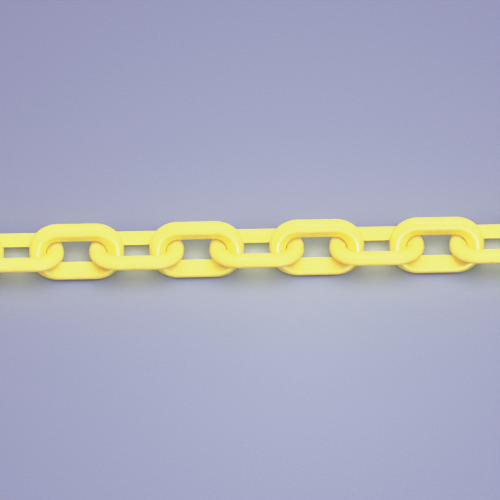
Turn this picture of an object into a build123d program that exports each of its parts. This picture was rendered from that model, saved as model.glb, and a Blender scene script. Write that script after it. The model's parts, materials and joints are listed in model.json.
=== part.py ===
"""Moulded plastic barrier chain, lying straight on a flat surface along X.

The chain is a row of identical closed links. Each link is one moulding: a long ring, nearly
half round at its ends, whose bars are half round on the outside and drafted on the inside down
to the flat wall of a round-ended window. Neighbouring links stand at a right angle to each
other, one leaning to each side, and each hangs in the window of the next with a small gap.

Millimetres, +Z up. The origin is under the middle of the chain, on the surface it lies on.
"""
from build123d import *
import math
import os

# Driving dimensions
LINK_COUNT = 21  # odd, so that the middle of a link stands over the origin
LINK_LENGTH = 50.8  # outside length of one link: the 2 inch size
BAR_THICKNESS = 7.7  # every bar, measured square to the link's own plane
SIDE_CREST = 2.7  # how much deeper than thick a side bar is, in the link's plane
END_CREST = 1.45  # the same at the middle of an end bar
SIDE_LAND = 0.5  # width of the window's wall along a side bar
END_FLAT = 2.9  # straight length of an end bar between its two corners
SIDE_CLEARANCE = 2.55  # between a side bar and the neighbour that passes through the window
RUNNING_GAP = 0.3  # between two linked end bars when the chain is pulled straight
LINK_LEAN = 45.0  # degrees that every other link leans from level; the rest stand square to it

# Worked out from the driving dimensions
BAR_RADIUS = BAR_THICKNESS / 2
SIDE_DEPTH = BAR_THICKNESS + SIDE_CREST
END_DEPTH = BAR_THICKNESS + END_CREST
WINDOW_WIDTH = BAR_THICKNESS + 2 * SIDE_CLEARANCE
WINDOW_LENGTH = LINK_LENGTH - 2 * END_DEPTH
LINK_WIDTH = WINDOW_WIDTH + 2 * SIDE_DEPTH
PITCH = WINDOW_LENGTH - RUNNING_GAP
HALF_LENGTH = LINK_LENGTH / 2 - BAR_RADIUS  # from the link's middle to the bars' centre line
HALF_WIDTH = LINK_WIDTH / 2 - BAR_RADIUS
END_RUN = END_FLAT / 2
LINE_RADIUS = HALF_WIDTH - END_RUN  # corner radius of the centre line
SIDE_RUN = HALF_LENGTH - LINE_RADIUS  # half the straight length of a side bar
QUARTER_TURN = 90.0


def bar_section(plane):
    """Face of a bar's section: a round of BAR_RADIUS and two flanks that meet in an edge.

    The round is centred on the plane's origin and the edge points along the plane's X. The
    window cuts the edge back to SIDE_LAND along the side bars.
    """
    reach = SIDE_DEPTH - BAR_RADIUS
    half_land = SIDE_LAND / 2
    flank = math.asin(BAR_RADIUS / math.hypot(reach, half_land)) - math.atan2(half_land, reach)
    round_x = BAR_RADIUS * math.sin(flank)
    round_y = BAR_RADIUS * math.cos(flank)
    edge_x = BAR_RADIUS / math.sin(flank)
    outline = [
        ThreePointArc((round_x, round_y), (-BAR_RADIUS, 0), (round_x, -round_y)),
        Line((round_x, -round_y), (edge_x, 0)),
        Line((edge_x, 0), (round_x, round_y)),
    ]
    return plane * make_face(Wire(outline))


def side_bar():
    """Straight side bar at +Y."""
    start = Plane(origin=(-SIDE_RUN, HALF_WIDTH, 0), x_dir=(0, -1, 0), z_dir=(1, 0, 0))
    return extrude(bar_section(start), 2 * SIDE_RUN)


def end_bar():
    """Straight part of the end bar at +X."""
    start = Plane(origin=(HALF_LENGTH, -END_RUN, 0), x_dir=(-1, 0, 0), z_dir=(0, 1, 0))
    return extrude(bar_section(start), 2 * END_RUN)


def corner():
    """Quarter turn at +X +Y, from the end bar to the side bar."""
    start = Plane(origin=(HALF_LENGTH, END_RUN, 0), x_dir=(-1, 0, 0), z_dir=(0, 1, 0))
    centre = Axis((SIDE_RUN, END_RUN, 0), (0, 0, 1))
    return revolve(bar_section(start), centre, QUARTER_TURN)


def window():
    """The opening through the link, with half-round ends, as a solid to cut away."""
    return extrude(SlotOverall(WINDOW_LENGTH, WINDOW_WIDTH), BAR_THICKNESS, both=True)


def flat_link():
    """One link lying in the XY plane, centred on the origin and long in X."""
    upper = side_bar()
    right = end_bar()
    turn = corner()
    pieces = [upper, upper.mirror(Plane.XZ), right, right.mirror(Plane.YZ)]
    pieces += [turn, turn.mirror(Plane.XZ), turn.mirror(Plane.YZ)]
    pieces.append(turn.mirror(Plane.XZ).mirror(Plane.YZ))
    ring = pieces[0].fuse(*pieces[1:])
    return (ring.clean() - window()).clean()


def lean_of(number):
    """Degrees that a link is turned about X; the middle link leans towards -Y."""
    middle = (LINK_COUNT + 1) // 2
    stands_square = (number - middle) % 2 == 0
    return LINK_LEAN - QUARTER_TURN if stands_square else LINK_LEAN


def axis_height():
    """Height of the chain's centre line, with the lowest bars on the surface."""
    steepest = max(abs(math.sin(math.radians(lean_of(number)))) for number in (1, 2))
    return HALF_WIDTH * steepest + BAR_RADIUS


def place(link, number):
    """The flat link turned and moved to its place in the chain, counted from -X."""
    x = (number - (LINK_COUNT + 1) / 2) * PITCH
    return Location((x, 0, axis_height()), (lean_of(number), 0, 0)) * link


def main():
    os.makedirs("parts", exist_ok=True)
    link = flat_link()
    for number in range(1, LINK_COUNT + 1):
        export_step(place(link, number), f"parts/link_{number:02d}.step")
    print(f"pitch {PITCH:.2f}, width {LINK_WIDTH:.2f}, axis height {axis_height():.3f}")
    print(f"link volume {link.volume:.1f}, solids {len(link.solids())}")


main()
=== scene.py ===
"""Looks of a moulded plastic barrier chain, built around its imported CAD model.

Every CAD link is replaced by a finer mesh of the same link: the section changes smoothly round
the ring, and the moulding's parting line, gate scar and slight sink marks are in the geometry.
Metres, in the CAD model's frame: the chain lies along X on the floor at z = 0.
"""
import json
import math

import bpy
import numpy as np
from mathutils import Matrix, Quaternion, Vector

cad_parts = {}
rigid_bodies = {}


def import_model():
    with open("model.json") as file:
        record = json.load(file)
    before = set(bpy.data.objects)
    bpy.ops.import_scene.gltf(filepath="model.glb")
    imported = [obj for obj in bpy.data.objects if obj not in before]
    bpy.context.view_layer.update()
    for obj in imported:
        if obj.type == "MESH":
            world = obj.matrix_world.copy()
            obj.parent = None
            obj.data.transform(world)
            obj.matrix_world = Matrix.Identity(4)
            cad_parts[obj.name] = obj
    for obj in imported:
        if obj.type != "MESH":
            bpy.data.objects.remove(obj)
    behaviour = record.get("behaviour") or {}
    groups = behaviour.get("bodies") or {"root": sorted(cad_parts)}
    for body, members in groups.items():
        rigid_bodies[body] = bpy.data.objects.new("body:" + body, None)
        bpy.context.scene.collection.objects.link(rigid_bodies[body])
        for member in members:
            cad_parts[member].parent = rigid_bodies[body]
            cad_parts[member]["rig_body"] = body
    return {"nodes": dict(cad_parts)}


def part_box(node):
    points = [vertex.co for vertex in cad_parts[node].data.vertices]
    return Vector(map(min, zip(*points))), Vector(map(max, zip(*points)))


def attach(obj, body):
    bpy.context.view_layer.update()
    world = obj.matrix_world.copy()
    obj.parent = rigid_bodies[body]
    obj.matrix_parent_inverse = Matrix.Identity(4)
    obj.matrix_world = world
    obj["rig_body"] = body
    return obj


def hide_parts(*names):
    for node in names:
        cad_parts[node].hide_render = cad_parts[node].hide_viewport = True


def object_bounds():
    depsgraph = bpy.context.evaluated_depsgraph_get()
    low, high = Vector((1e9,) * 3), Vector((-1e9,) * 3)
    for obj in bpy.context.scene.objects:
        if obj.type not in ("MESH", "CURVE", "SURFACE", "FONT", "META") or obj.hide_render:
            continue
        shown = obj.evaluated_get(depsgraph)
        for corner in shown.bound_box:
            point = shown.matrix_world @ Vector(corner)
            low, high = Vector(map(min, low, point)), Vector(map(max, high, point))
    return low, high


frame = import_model()
CAD_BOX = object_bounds()
scene = bpy.context.scene

MM = 0.001

# The link: bar sizes as in the CAD model
LEAN = math.radians(45)
BAR_RADIUS = 3.85 * MM
FLANK = math.radians(34.1)  # a flank to the link's plane, 0.3 degree more than the CAD model's
END_DEPTH = 9.15 * MM
WINDOW_WIDTH = 12.8 * MM
OUTER_CORNER_RADIUS = 15.35 * MM

# The camera's view
VIEW_WIDTH = 268.2 * MM
VIEW_ELEVATION = math.radians(75.8)
VIEW_ROLL = math.radians(-1.07)
CHAIN_RIGHT_OF_CENTRE = 3.55 * MM
CHAIN_ABOVE_CENTRE = 0.9 * MM
LENS_MM = 1000.0
SENSOR_MM = 36.0
NEAREST_SHOWN = 0.1  # in camera distances
FARTHEST_SHOWN = 10

# How bright light shows, past the mid tones, which show as they are: (light, shown)
SHOULDER = ((0.3, 0.3), (0.6, 0.6), (0.75, 0.73), (0.9, 0.81), (1.2, 0.86), (1.9, 0.88))
WHITE_LEVEL = 3  # light that shows as white
COMBINED_CURVE = 3  # the curve for all colours together, after red, green and blue

# Lights. A direction is degrees up and degrees round, from the near side (-Y) to the right (+X).
# Powers are watts; the key is a sun, in watts per square metre.
KEY_STRENGTH = 5.0
KEY_DIRECTION = (84, 125)
KEY_SPREAD = math.radians(43)
TOP_SHEEN_POWER = 8
TOP_SHEEN_DIRECTION = (77, 121)
TOP_SHEEN_SIZE = (0.36, 0.2)
OVERHEAD_DISTANCE = 1.6
FRONT_SHEEN_POWER = 48
FRONT_SHEEN_DIRECTION = (12, 17.6)
FRONT_SHEEN_SIZE = (0.2, 0.12)
FRONT_SHEEN_DISTANCE = 1.5
FRONT_SHEEN_COLOUR = (0.6, 1, 0.45)
SKY_COLOUR = (1, 1, 1, 1)
SKY_STRENGTH = 0.55
GLOW_POWER = 0.0145
GLOW_COLOUR = (1, 1, 0.2)
GLOW_RADIUS = 8 * MM
GLOW_OFFSET = Vector((0, -3, 0)) * MM

FLOOR_HALF_SIZE = 30

AXIS_HEIGHT = (CAD_BOX[0].z + CAD_BOX[1].z) / 2
CHAIN_MIDDLE = Vector((0, 0, AXIS_HEIGHT))


def make_camera():
    """Very long lens, so that the view is nearly parallel, as wide as VIEW_WIDTH at the chain."""
    data = bpy.data.cameras.new("camera")
    data.lens = LENS_MM
    data.sensor_width = SENSOR_MM
    distance = VIEW_WIDTH * LENS_MM / SENSOR_MM
    back = Vector((0, -math.cos(VIEW_ELEVATION), math.sin(VIEW_ELEVATION)))
    turn = (-back).to_track_quat("-Z", "Y") @ Quaternion((0, 0, 1), VIEW_ROLL)
    right = turn @ Vector((1, 0, 0))
    up = turn @ Vector((0, 1, 0))
    camera = bpy.data.objects.new("camera", data)
    scene.collection.objects.link(camera)
    camera.rotation_mode = "QUATERNION"
    camera.rotation_quaternion = turn
    aim = CHAIN_MIDDLE - right * CHAIN_RIGHT_OF_CENTRE - up * CHAIN_ABOVE_CENTRE
    camera.location = aim + back * distance
    data.clip_start = distance * NEAREST_SHOWN
    data.clip_end = distance * FARTHEST_SHOWN
    scene.camera = camera


# ---------------------------------------------------------------- link geometry
# Points round a section, and stations along the ring
ROUND_STEPS = 24
FLANK_STEPS = 5
NOSE_STEPS = 8
SIDE_STEPS = 30
END_STEPS = 4
CORNER_STEPS = 22

# Marks of the moulding. The parting line's angles are radians from the outermost point.
PARTING_HEIGHT = 0.05 * MM
PARTING_ANGLES = np.array((-0.12, -0.07, -0.035, 0, 0.035, 0.07, 0.12))
PARTING_WIDTH = 0.035
PARTING_CLEAR = 0.2  # where the even spacing of the round stops
SINK_DEPTH = 0.06 * MM
SINK_LENGTH = 7 * MM
GATE_RADIUS = 1.3 * MM
GATE_DEPTH = 0.12 * MM
GATE_RIM = 1.4  # where the scar ends, in gate radii
GATE_ANGLE = math.radians(50)  # how far the gate faces down from the link's plane


def round_angles(start):
    """Angles round the outer half of a section, closer together at the parting line."""
    lead = np.linspace(start, math.pi - PARTING_CLEAR, ROUND_STEPS // 2)
    return np.concatenate((lead, math.pi + PARTING_ANGLES, 2 * math.pi - lead[:0:-1]))


ROUND_COUNT = len(round_angles(0))


def section_outline(depth, sink):
    """Points (inward, normal) round a bar's section, from one tangent point right round.

    The round is centred on the bar's centre line, and the nose reaches depth inward of it. The
    two halves of the mould meet in a low ridge on the outside, and the flanks sink in a little.
    """
    nose_radius = (BAR_RADIUS - depth * math.sin(FLANK)) / (1 - math.sin(FLANK))
    nose_centre = depth - nose_radius
    points = []
    start = math.pi / 2 - FLANK
    for angle in round_angles(start):
        ridge = PARTING_HEIGHT * math.exp(-(((angle - math.pi) / PARTING_WIDTH) ** 2))
        radius = BAR_RADIUS + ridge
        points.append((radius * math.cos(angle), radius * math.sin(angle)))
    round_end = np.array((BAR_RADIUS * math.cos(start), -BAR_RADIUS * math.sin(start)))
    nose_start = np.array((nose_centre + nose_radius * math.cos(start), -nose_radius * math.sin(start)))
    into = np.array((-math.cos(start), math.sin(start)))
    for part in np.linspace(0, 1, FLANK_STEPS, endpoint=False):
        dip = sink * math.sin(math.pi * part) ** 2
        points.append(tuple(round_end + (nose_start - round_end) * part + into * dip))
    for angle in np.linspace(-start, start, NOSE_STEPS, endpoint=False):
        along = nose_centre + nose_radius * math.cos(angle)
        points.append((along, nose_radius * math.sin(angle)))
    back_start = nose_start * (1, -1)
    back_end = round_end * (1, -1)
    for part in np.linspace(0, 1, FLANK_STEPS, endpoint=False):
        dip = sink * math.sin(math.pi * part) ** 2
        points.append(tuple(back_start + (back_end - back_start) * part + into * (1, -1) * dip))
    return np.array(points)


def window_depth(point, inward, half_length):
    """Distance inward from a point of the centre line to the window's edge."""
    radius = WINDOW_WIDTH / 2
    centre = half_length + BAR_RADIUS - END_DEPTH - radius
    if abs(point[0]) <= centre:
        return abs(point[1]) - radius
    from_centre = point - np.array((math.copysign(centre, point[0]), 0))
    along = -from_centre @ inward
    aside = max(0.0, from_centre @ from_centre - along * along)
    return along - math.sqrt(radius * radius - aside)


def ring_stations(half_length, half_width):
    """Centre line of a link: list of (point, inward direction) in the link's plane."""
    line_radius = OUTER_CORNER_RADIUS - BAR_RADIUS
    side_run = half_length - line_radius
    end_run = half_width - line_radius
    stations = []
    for quarter in range(4):
        # each quarter turn starts with a straight bar and ends with its corner
        turn = quarter * math.pi / 2
        along = np.array((math.cos(turn), math.sin(turn)))
        inward = np.array((-math.sin(turn), math.cos(turn)))
        if quarter % 2 == 0:
            run, offset, steps = side_run, half_width, SIDE_STEPS
        else:
            run, offset, steps = end_run, half_length, END_STEPS
        for step in np.linspace(-run, run, steps, endpoint=False):
            stations.append((along * step - inward * offset, inward))
        centre = along * run - inward * (offset - line_radius)
        for angle in np.linspace(0, math.pi / 2, CORNER_STEPS, endpoint=False):
            direction = along * math.sin(angle) - inward * math.cos(angle)
            stations.append((centre + direction * line_radius, -direction))
    return stations


def press_gate_scar(flat, half_width, lean):
    """Shallow round mark where the plastic came in, on the downward side of the low side bar."""
    side = -math.copysign(1, lean)
    outward = np.array((0, side * math.cos(GATE_ANGLE), -math.sin(GATE_ANGLE)))
    bar = np.array((0, side * half_width, 0))
    gate = bar + outward * BAR_RADIUS
    away = np.linalg.norm(flat - gate, axis=1)
    flat -= outward * (GATE_DEPTH * np.clip(GATE_RIM - away / GATE_RADIUS, 0, 1))[:, None]


def link_mesh(name, half_length, half_width, lean, centre_x):
    """A whole link: one section outline at each station, leaned and moved to its place."""
    stations = ring_stations(half_length, half_width)
    count = ROUND_COUNT + 2 * FLANK_STEPS + NOSE_STEPS
    vertices = np.zeros((len(stations), count, 3))
    for i, (point, inward) in enumerate(stations):
        sink = SINK_DEPTH * math.exp(-((point[0] / SINK_LENGTH) ** 2))
        outline = section_outline(window_depth(point, inward, half_length), sink)
        vertices[i, :, :2] = point + outline[:, :1] * inward
        vertices[i, :, 2] = outline[:, 1]
    flat = vertices.reshape(-1, 3)
    press_gate_scar(flat, half_width, lean)
    cosine, sine = math.cos(lean), math.sin(lean)
    placed = np.empty_like(flat)
    placed[:, 0] = flat[:, 0] + centre_x
    placed[:, 1] = flat[:, 1] * cosine - flat[:, 2] * sine
    placed[:, 2] = flat[:, 1] * sine + flat[:, 2] * cosine + AXIS_HEIGHT
    faces = []
    for i in range(len(stations)):
        here = i * count
        there = ((i + 1) % len(stations)) * count
        for j in range(count):
            after = (j + 1) % count
            faces.append((here + j, here + after, there + after, there + j))
    mesh = bpy.data.meshes.new(name)
    mesh.from_pydata(placed.tolist(), [], faces)
    mesh.shade_smooth()
    return mesh


# ---------------------------------------------------------------- materials
NOISE_SPREAD = 0.25  # of the noise's values, either side of the middle, that the colours span

# Plastic. Colour, roughness and skin vary between two limits. A scale is cells to a metre.
CLOUD_SCALE = 130
GLOSS_SCALE = 240
SKIN_SCALE = 900
PLASTIC_DEEP = (0.92, 0.65, 0.11, 1)
PLASTIC_PALE = (0.97, 0.71, 0.13, 1)
SMOOTHEST = (0.31, 0.31, 0.31, 1)
ROUGHEST = (0.42, 0.42, 0.42, 1)
SKIN_LOW = (0, 0, 0, 1)
SKIN_HIGH = (1, 1, 1, 1)
SKIN_STRENGTH = 0.25
SKIN_HEIGHT = 0.03 * MM
LIGHT_REACH = 5.5 * MM  # how far light travels inside, for the colour that goes farthest
LIGHT_REACH_BY_COLOUR = (1.0, 0.5, 0.1)

# Paper with a painted pool of light: a round paler patch centred near the chain, painted darker farther
# out as the light falls off
PAPER_PAST_PAINTED_LIGHT = (0.136, 0.137, 0.222, 1)
PAPER_IN_PAINTED_LIGHT = (0.198, 0.213, 0.296, 1)
PAINTED_LIGHT_STARTS_AT = 0.46  # of the way in to the middle of the painted pool of light
PAINTED_LIGHT_FULL_AT = 0.97
PAINTED_LIGHT_RADII_PER_METRE = 2
PAINTED_LIGHT_OFFSET = (-0.05, 0.1, 0)  # in radii of the painted pool of light
PAPER_ROUGHNESS = 0.9
MOTTLE_SCALE = 700
MOTTLE_DARK = (0.92, 0.92, 0.94, 1)
MOTTLE_PALE = (1, 1, 1, 1)


def noise_ramp(tree, scale, detail, low, high):
    """Colour ramp between two colours, driven by noise that rides with the piece.

    The detail is how many finer layers are added.
    """
    place = tree.nodes.new("ShaderNodeTexCoord")
    noise = tree.nodes.new("ShaderNodeTexNoise")
    noise.inputs["Scale"].default_value = scale
    noise.inputs["Detail"].default_value = detail
    tree.links.new(place.outputs["Object"], noise.inputs["Vector"])
    ramp = tree.nodes.new("ShaderNodeValToRGB")
    ramp.color_ramp.elements[0].position = 0.5 - NOISE_SPREAD
    ramp.color_ramp.elements[0].color = low
    ramp.color_ramp.elements[1].position = 0.5 + NOISE_SPREAD
    ramp.color_ramp.elements[1].color = high
    tree.links.new(noise.outputs["Fac"], ramp.inputs["Fac"])
    return ramp


def yellow_plastic():
    """Solid-coloured polyethylene: a little cloudy, with a finely uneven skin and gloss."""
    material = bpy.data.materials.new("yellow_plastic")
    material.use_nodes = True
    tree = material.node_tree
    shader = tree.nodes["Principled BSDF"]
    colour = noise_ramp(tree, CLOUD_SCALE, 4, PLASTIC_DEEP, PLASTIC_PALE)
    tree.links.new(colour.outputs["Color"], shader.inputs["Base Color"])
    rough = noise_ramp(tree, GLOSS_SCALE, 5, SMOOTHEST, ROUGHEST)
    tree.links.new(rough.outputs["Color"], shader.inputs["Roughness"])
    shader.inputs["Subsurface Weight"].default_value = 1.0
    shader.inputs["Subsurface Radius"].default_value = LIGHT_REACH_BY_COLOUR
    shader.inputs["Subsurface Scale"].default_value = LIGHT_REACH
    skin = noise_ramp(tree, SKIN_SCALE, 3, SKIN_LOW, SKIN_HIGH)
    bump = tree.nodes.new("ShaderNodeBump")
    bump.inputs["Strength"].default_value = SKIN_STRENGTH
    bump.inputs["Distance"].default_value = SKIN_HEIGHT
    tree.links.new(skin.outputs["Color"], bump.inputs["Height"])
    tree.links.new(bump.outputs["Normal"], shader.inputs["Normal"])
    return material


def paper_floor():
    """Pale lavender paper, a little mottled, with a painted pool of light: paler in front of the chain
    and to its right, darker farther out.
    """
    material = bpy.data.materials.new("paper")
    material.use_nodes = True
    tree = material.node_tree
    shader = tree.nodes["Principled BSDF"]
    shader.inputs["Roughness"].default_value = PAPER_ROUGHNESS
    place = tree.nodes.new("ShaderNodeTexCoord")
    spread = tree.nodes.new("ShaderNodeMapping")
    spread.inputs["Scale"].default_value = (PAINTED_LIGHT_RADII_PER_METRE,) * 3
    spread.inputs["Location"].default_value = PAINTED_LIGHT_OFFSET
    tree.links.new(place.outputs["Object"], spread.inputs["Vector"])
    # painted light: a round pool of paler paper near the chain, fading to darker paper farther out,
    # stands in for the light's falloff
    painted_light_falloff = tree.nodes.new("ShaderNodeTexGradient")
    painted_light_falloff.gradient_type = "SPHERICAL"
    tree.links.new(spread.outputs["Vector"], painted_light_falloff.inputs["Vector"])
    painted_light_ramp = tree.nodes.new("ShaderNodeValToRGB")
    painted_light_ramp.color_ramp.elements[0].position = PAINTED_LIGHT_STARTS_AT
    painted_light_ramp.color_ramp.elements[0].color = PAPER_PAST_PAINTED_LIGHT
    painted_light_ramp.color_ramp.elements[1].position = PAINTED_LIGHT_FULL_AT
    painted_light_ramp.color_ramp.elements[1].color = PAPER_IN_PAINTED_LIGHT
    tree.links.new(painted_light_falloff.outputs["Fac"], painted_light_ramp.inputs["Fac"])
    mottle = noise_ramp(tree, MOTTLE_SCALE, 3, MOTTLE_DARK, MOTTLE_PALE)
    mix = tree.nodes.new("ShaderNodeMixRGB")
    mix.blend_type = "MULTIPLY"
    mix.inputs["Fac"].default_value = 1
    tree.links.new(painted_light_ramp.outputs["Color"], mix.inputs["Color1"])
    tree.links.new(mottle.outputs["Color"], mix.inputs["Color2"])
    tree.links.new(mix.outputs["Color"], shader.inputs["Base Color"])
    return material


def make_links():
    """Replace every CAD link. Its length, width and lean are read from the CAD link."""
    plastic = yellow_plastic()
    links = []
    for node in sorted(frame["nodes"]):
        low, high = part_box(node)
        cad = frame["nodes"][node]
        places = np.array([v.co for v in cad.data.vertices])
        leans_far = (places[:, 1] * (places[:, 2] - AXIS_HEIGHT)).sum() > 0
        lean = LEAN if leans_far else -LEAN
        half_length = (high.x - low.x) / 2 - BAR_RADIUS
        half_width = ((high.y - low.y) / 2 - BAR_RADIUS) / math.cos(LEAN)
        mesh = link_mesh(node + "_moulding", half_length, half_width, lean, (low.x + high.x) / 2)
        mesh.materials.append(plastic)
        piece = bpy.data.objects.new(node + "_moulding", mesh)
        scene.collection.objects.link(piece)
        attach(piece, node)
        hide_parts(node)
        links.append(piece)
    return links


def make_floor():
    """A wide flat sheet, so that its edges are out of sight."""
    size = FLOOR_HALF_SIZE
    corners = [(-size, -size, 0), (size, -size, 0), (size, size, 0), (-size, size, 0)]
    mesh = bpy.data.meshes.new("floor")
    mesh.from_pydata(corners, [], [(0, 1, 2, 3)])
    mesh.materials.append(paper_floor())
    floor = bpy.data.objects.new("floor", mesh)
    scene.collection.objects.link(floor)
    return floor


# ---------------------------------------------------------------- lights
def aimed_light(name, data, degrees, distance):
    """Light aimed at the chain from a direction, given as degrees up and degrees round."""
    up, round_chain = math.radians(degrees[0]), math.radians(degrees[1])
    level = math.cos(up)
    direction = Vector((level * math.sin(round_chain), -level * math.cos(round_chain), math.sin(up)))
    light = bpy.data.objects.new(name, data)
    light.location = CHAIN_MIDDLE + direction * distance
    light.rotation_mode = "QUATERNION"
    light.rotation_quaternion = direction.to_track_quat("Z", "Y")
    light.visible_camera = False
    scene.collection.objects.link(light)
    return light


def panel(name, size, power):
    """Data of a rectangular lamp."""
    data = bpy.data.lights.new(name, "AREA")
    data.shape = "RECTANGLE"
    data.size, data.size_y = size
    data.energy = power
    return data


def soft_sun(name, strength, spread):
    """Data of a sun that covers a wide part of the sky."""
    data = bpy.data.lights.new(name, "SUN")
    data.energy = strength
    data.angle = spread
    return data


def make_glow(links, ground):
    """The light that the bright plastic passes on to the paper: it goes with each link."""
    for link in links:
        data = bpy.data.lights.new(link.name + "_glow", "POINT")
        data.energy = GLOW_POWER
        data.color = GLOW_COLOUR
        data.shadow_soft_size = GLOW_RADIUS
        glow = bpy.data.objects.new(data.name, data)
        corners = [Vector(corner) for corner in link.bound_box]
        glow.location = sum(corners, Vector()) / len(corners) + GLOW_OFFSET
        glow.visible_camera = False
        glow.visible_glossy = False
        glow.light_linking.receiver_collection = ground
        glow.light_linking.blocker_collection = ground
        scene.collection.objects.link(glow)
        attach(glow, link["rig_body"])


def collection_of(name, members):
    """Collection that tells a lamp what to light; it isn't linked into the scene."""
    collection = bpy.data.collections.new(name)
    for member in members:
        collection.objects.link(member)
    return collection


def make_lights(links, floor):
    """A wide soft key overhead, a small lamp for the sheen on top and a low one for the front's.

    Each link also has its glow on the paper, and the sky is an even white.
    """
    chain = collection_of("chain_links", links)
    ground = collection_of("ground", [floor])
    key_sun = soft_sun("key", KEY_STRENGTH, KEY_SPREAD)
    key = aimed_light("key", key_sun, KEY_DIRECTION, OVERHEAD_DISTANCE)
    key.visible_glossy = False
    top_panel = panel("top_sheen", TOP_SHEEN_SIZE, TOP_SHEEN_POWER)
    top = aimed_light("top_sheen", top_panel, TOP_SHEEN_DIRECTION, OVERHEAD_DISTANCE)
    top.visible_diffuse = False
    front_panel = panel("front_sheen", FRONT_SHEEN_SIZE, FRONT_SHEEN_POWER)
    front_panel.color = FRONT_SHEEN_COLOUR
    front = aimed_light("front_sheen", front_panel, FRONT_SHEEN_DIRECTION, FRONT_SHEEN_DISTANCE)
    front.visible_diffuse = False
    front.light_linking.receiver_collection = chain
    front.light_linking.blocker_collection = ground
    make_glow(links, ground)
    world = bpy.data.worlds.new("studio")
    world.use_nodes = True
    background = world.node_tree.nodes["Background"]
    background.inputs["Color"].default_value = SKY_COLOUR
    background.inputs["Strength"].default_value = SKY_STRENGTH
    scene.world = world


def make_film_response():
    """A camera's soft shoulder: mid tones as they are, bright ones eased off below white."""
    view = scene.view_settings
    view.view_transform = "Standard"
    view.use_curve_mapping = True
    view.curve_mapping.white_level = (WHITE_LEVEL, WHITE_LEVEL, WHITE_LEVEL)
    curve = view.curve_mapping.curves[COMBINED_CURVE]
    for light, shown in SHOULDER:
        curve.points.new(light / WHITE_LEVEL, shown)
    view.curve_mapping.update()


make_camera()
make_lights(make_links(), make_floor())
make_film_response()
